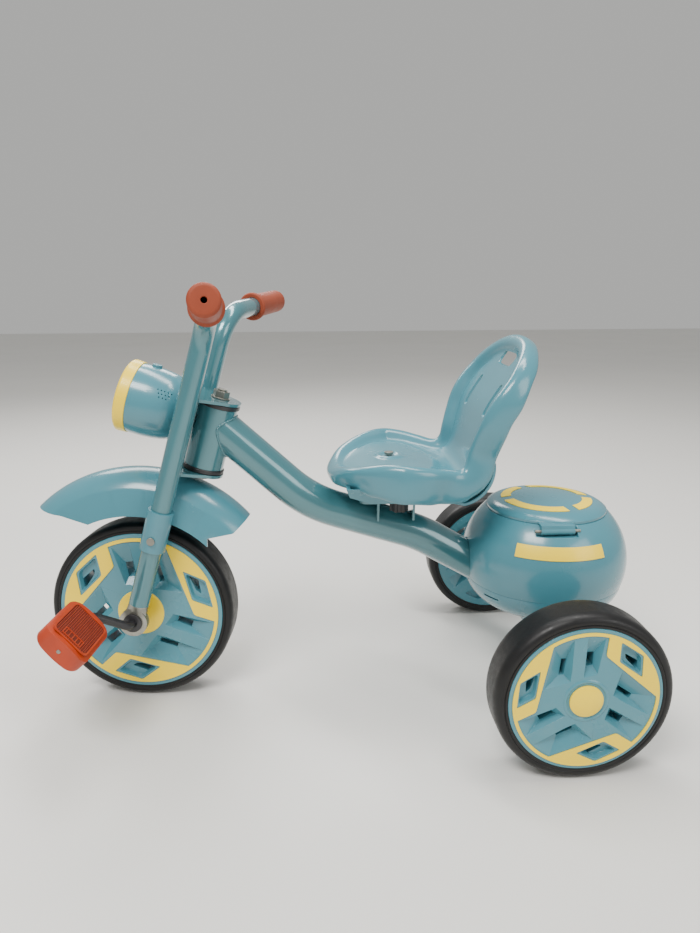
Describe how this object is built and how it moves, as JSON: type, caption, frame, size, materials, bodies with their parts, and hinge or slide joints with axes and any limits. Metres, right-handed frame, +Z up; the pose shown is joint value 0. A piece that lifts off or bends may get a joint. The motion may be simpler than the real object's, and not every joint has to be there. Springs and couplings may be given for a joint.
{
  "type": "children's tricycle",
  "caption": "Pedal tricycle for a small child with steered front wheel, headlamp, sliding bucket seat and a round storage box with a hinged lid.",
  "frame": {"origin": "on the ground below the middle of the whole tricycle", "axes": "+X forward, +Y to the rider's left, +Z up"},
  "size_m": [0.7728, 0.4704, 0.5395],
  "materials": {
    "painted_frame": "gloss",
    "moulded_blue": "gloss",
    "yellow_trim": "semi-gloss",
    "orange_pedal": "satin",
    "terracotta_grip": "matte",
    "black_tyre": "satin",
    "black_plastic": "satin",
    "zinc_steel": "zinc plated",
    "clear_lens": "clear",
    "reflector_chrome": "bright",
    "led_white": "gloss",
    "board_green": "satin"
  },
  "bodies": {
    "frame": {"main_tube": "painted_frame", "head_tube": "painted_frame", "headset_bushes": "black_plastic", "seat_bracket": "painted_frame", "axle_carrier": "painted_frame", "rear_axle": "zinc_steel", "box_lower_shell": "moulded_blue", "box_upper_shell": "moulded_blue", "lid_hinge_pin": "zinc_steel", "box_tray": "moulded_blue", "box_side_bands": "yellow_trim"},
    "lid": {"box_lid": "moulded_blue", "lid_trim": "yellow_trim"},
    "seat": {"seat_shell": "moulded_blue", "seat_base": "moulded_blue", "seat_corner_brace": "moulded_blue", "seat_fasteners": "zinc_steel"},
    "seat_knob_left": {"seat_knob_left": "black_plastic"},
    "seat_knob_right": {"seat_knob_right": "black_plastic"},
    "steering": {"fork_tube_left": "painted_frame", "fork_tube_right": "painted_frame", "grip_left": "terracotta_grip", "grip_right": "terracotta_grip", "dropouts": "zinc_steel", "crank_bushes": "black_plastic", "lower_crown": "painted_frame", "upper_crown": "painted_frame", "steering_bolt": "zinc_steel", "steering_nut": "zinc_steel", "fender": "moulded_blue", "fender_bolts": "zinc_steel", "lamp_body": "moulded_blue", "lamp_bezel": "yellow_trim", "lamp_lens": "clear_lens", "lamp_reflector": "reflector_chrome", "lamp_led": "led_white", "lamp_circuit_board": "board_green", "lamp_speaker": "black_plastic", "lamp_bracket": "painted_frame", "lamp_screws": "zinc_steel"},
    "lamp_button": {"lamp_button": "moulded_blue"},
    "front_wheel": {"front_left_hub": "moulded_blue", "front_right_hub": "moulded_blue", "front_tyre": "black_tyre", "front_wheel_trims": "yellow_trim", "front_hub_discs": "yellow_trim", "crank_axle": "black_plastic"},
    "left_pedal": {"left_pedal": "orange_pedal"},
    "right_pedal": {"right_pedal": "orange_pedal"},
    "rear_left_wheel": {"rear_left_outer_hub": "moulded_blue", "rear_left_inner_hub": "moulded_blue", "rear_left_tyre": "black_tyre", "rear_left_trim": "yellow_trim", "rear_left_cap": "yellow_trim"},
    "rear_right_wheel": {"rear_right_outer_hub": "moulded_blue", "rear_right_inner_hub": "moulded_blue", "rear_right_tyre": "black_tyre", "rear_right_trim": "yellow_trim", "rear_right_cap": "yellow_trim"}
  },
  "joints": [
    {"name": "steer", "type": "hinge", "parent": "frame", "child": "steering", "pos_m": [0.16015, 0, 0.35209], "axis": [-0.284, 0, 0.9588], "range_deg": [-39, 51]},
    {"name": "front_wheel_spin", "type": "hinge", "parent": "steering", "child": "front_wheel", "pos_m": [0.25785, -0.00293, 0.12029], "axis": [0.1002, 0.9945, 0.0297], "continuous": true},
    {"name": "left_pedal_spin", "type": "hinge", "parent": "front_wheel", "child": "left_pedal", "pos_m": [0.30971, 0.13577, 0.14951], "axis": [0.1002, 0.9945, 0.0297], "continuous": true},
    {"name": "right_pedal_spin", "type": "hinge", "parent": "front_wheel", "child": "right_pedal", "pos_m": [0.206, -0.14162, 0.09107], "axis": [0.1002, 0.9945, 0.0297], "continuous": true},
    {"name": "rear_left_wheel_spin", "type": "hinge", "parent": "frame", "child": "rear_left_wheel", "pos_m": [-0.2564, 0.2052, 0.1], "axis": [0, 1, 0], "continuous": true},
    {"name": "rear_right_wheel_spin", "type": "hinge", "parent": "frame", "child": "rear_right_wheel", "pos_m": [-0.2564, -0.2052, 0.1], "axis": [0, 1, 0], "continuous": true},
    {"name": "lid_hinge", "type": "hinge", "parent": "frame", "child": "lid", "pos_m": [-0.2664, 0.083, 0.241], "axis": [-1, 0, 0], "range_deg": [0, 95]},
    {"name": "seat_slide", "type": "slide", "parent": "frame", "child": "seat", "axis": [1, 0, 0], "range_m": [-0.012, 0.025]},
    {"name": "left_knob_turn", "type": "hinge", "parent": "seat", "child": "seat_knob_left", "pos_m": [-0.0744, 0.045, 0.266], "axis": [0, 0, 1], "continuous": true},
    {"name": "right_knob_turn", "type": "hinge", "parent": "seat", "child": "seat_knob_right", "pos_m": [-0.0744, -0.045, 0.266], "axis": [0, 0, 1], "continuous": true},
    {"name": "lamp_button_press", "type": "slide", "parent": "steering", "child": "lamp_button", "axis": [0.284, 0, -0.9588], "range_m": [0, 0.0015], "stiffness_N_per_m": 200, "springref_m": -0.001}
  ]
}
